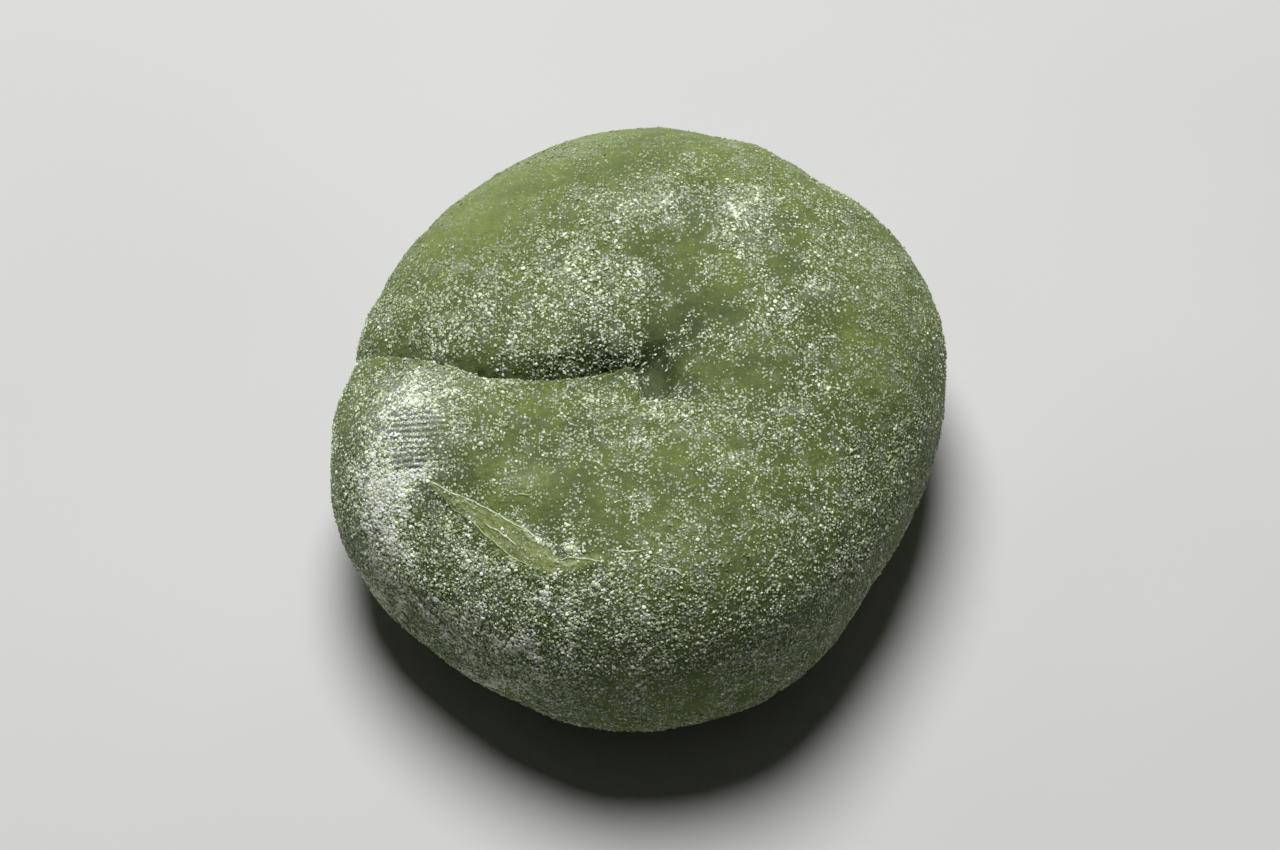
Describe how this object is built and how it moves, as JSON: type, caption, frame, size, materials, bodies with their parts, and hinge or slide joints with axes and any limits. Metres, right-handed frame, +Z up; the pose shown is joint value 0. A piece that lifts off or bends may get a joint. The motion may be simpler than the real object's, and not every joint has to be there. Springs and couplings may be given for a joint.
{
  "type": "mochi rice cake",
  "caption": "Soft round rice cake of green dough with a gathered dimple and crease on top, a flat underside and a dusting of starch.",
  "frame": {"origin": "under the middle of the cake, on the surface it rests on", "axes": "+Z up through the thickness; +X to the right and +Y to the back, with the crease running from the middle towards -X"},
  "size_m": [0.0598, 0.0622, 0.0291],
  "materials": {
    "dough": "soft matte dough dusted with starch"
  },
  "bodies": {
    "root": {"mochi": "dough"}
  },
  "joints": []
}
